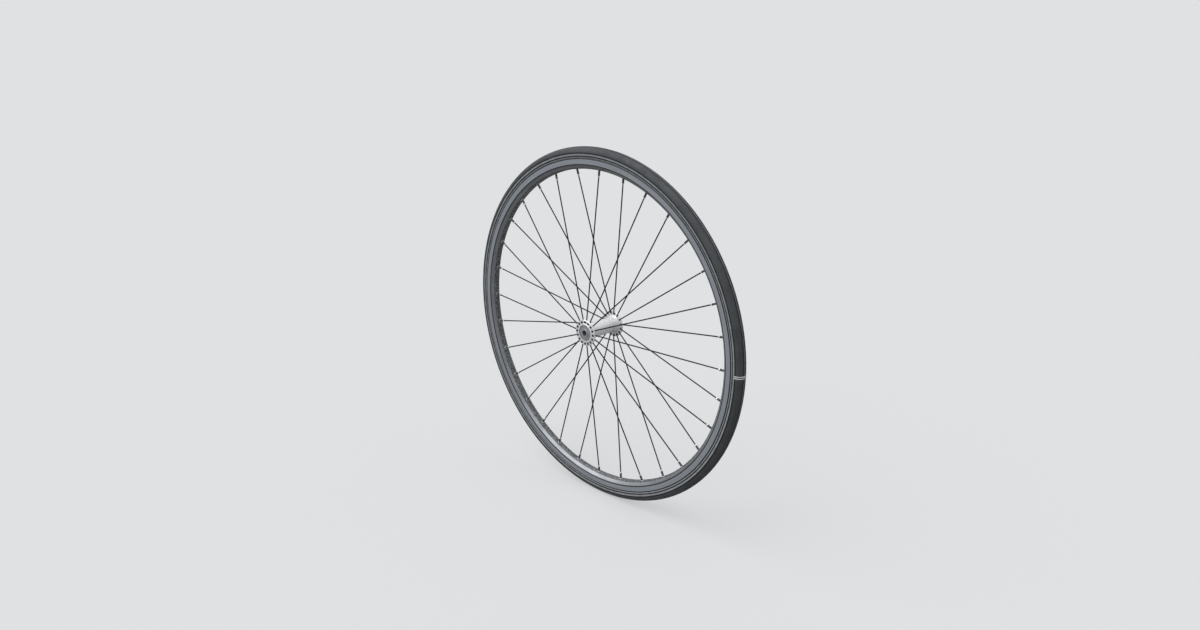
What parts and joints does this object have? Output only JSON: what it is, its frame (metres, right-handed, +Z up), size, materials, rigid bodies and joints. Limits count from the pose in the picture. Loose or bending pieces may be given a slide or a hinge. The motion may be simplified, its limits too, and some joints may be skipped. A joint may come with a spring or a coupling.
{
  "type": "bicycle wheel",
  "caption": "Front bicycle wheel: smooth solid tyre on a hollow metal rim, straight radial wire spokes and a flanged hub that turns on ball bearings around a through-axle bore.",
  "frame": {"origin": "the wheel's centre, on the axle line half way between the hub's end faces", "axes": "+Y along the axle towards the left side of the bicycle, +X the way it rolls, +Z up"},
  "size_m": [0.6722, 0.0786, 0.6719],
  "materials": {
    "tyre_rubber": "matt",
    "joint_rubber": "matt",
    "rim_aluminium": "satin anodised, with machined tracks",
    "eyelet_steel": "plated",
    "spoke_steel": "drawn, dark grey",
    "nipple_brass": "nickel plated",
    "hub_aluminium": "polished",
    "axle_aluminium": "turned",
    "end_ring_aluminium": "turned",
    "bearing_steel": "ground",
    "ball_steel": "polished",
    "cage_brass": "machined",
    "seal_rubber": "matt"
  },
  "bodies": {
    "axle": {"axle_tube": "axle_aluminium", "bearing_spacer": "axle_aluminium", "right_end_ring": "end_ring_aluminium", "left_end_ring": "end_ring_aluminium", "right_bearing_inner_ring": "bearing_steel", "left_bearing_inner_ring": "bearing_steel"},
    "wheel": {"tyre": "tyre_rubber", "tyre_joint_band": "joint_rubber", "rim": "rim_aluminium", "rim_eyelets": "eyelet_steel", "spoke_nipples": "nipple_brass", "hub_shell": "hub_aluminium", "spoke_01": "spoke_steel", "spoke_02": "spoke_steel", "spoke_03": "spoke_steel", "spoke_04": "spoke_steel", "spoke_05": "spoke_steel", "spoke_06": "spoke_steel", "spoke_07": "spoke_steel", "spoke_08": "spoke_steel", "spoke_09": "spoke_steel", "spoke_10": "spoke_steel", "spoke_11": "spoke_steel", "spoke_12": "spoke_steel", "spoke_13": "spoke_steel", "spoke_14": "spoke_steel", "spoke_15": "spoke_steel", "spoke_16": "spoke_steel", "spoke_17": "spoke_steel", "spoke_18": "spoke_steel", "spoke_19": "spoke_steel", "spoke_20": "spoke_steel", "spoke_21": "spoke_steel", "spoke_22": "spoke_steel", "spoke_23": "spoke_steel", "spoke_24": "spoke_steel", "spoke_25": "spoke_steel", "spoke_26": "spoke_steel", "spoke_27": "spoke_steel", "spoke_28": "spoke_steel", "spoke_29": "spoke_steel", "spoke_30": "spoke_steel", "spoke_31": "spoke_steel", "spoke_32": "spoke_steel", "right_bearing_outer_ring": "bearing_steel", "right_bearing_outer_seal": "seal_rubber", "right_bearing_inner_seal": "seal_rubber", "left_bearing_outer_ring": "bearing_steel", "left_bearing_outer_seal": "seal_rubber", "left_bearing_inner_seal": "seal_rubber"},
    "right_ball_set": {"right_bearing_balls": "ball_steel", "right_bearing_cage": "cage_brass"},
    "left_ball_set": {"left_bearing_balls": "ball_steel", "left_bearing_cage": "cage_brass"}
  },
  "joints": [
    {"name": "wheel_spin", "type": "hinge", "parent": "axle", "child": "wheel", "pos_m": [0, 0, 0], "axis": [0, 1, 0], "continuous": true},
    {"name": "right_balls_roll", "type": "hinge", "parent": "axle", "child": "right_ball_set", "pos_m": [0, 0, 0], "axis": [0, 1, 0], "continuous": true},
    {"name": "left_balls_roll", "type": "hinge", "parent": "axle", "child": "left_ball_set", "pos_m": [0, 0, 0], "axis": [0, 1, 0], "continuous": true}
  ],
  "couplings": [
    {"joint": "right_balls_roll", "follows": "wheel_spin", "ratio": 0.619},
    {"joint": "left_balls_roll", "follows": "wheel_spin", "ratio": 0.619}
  ]
}
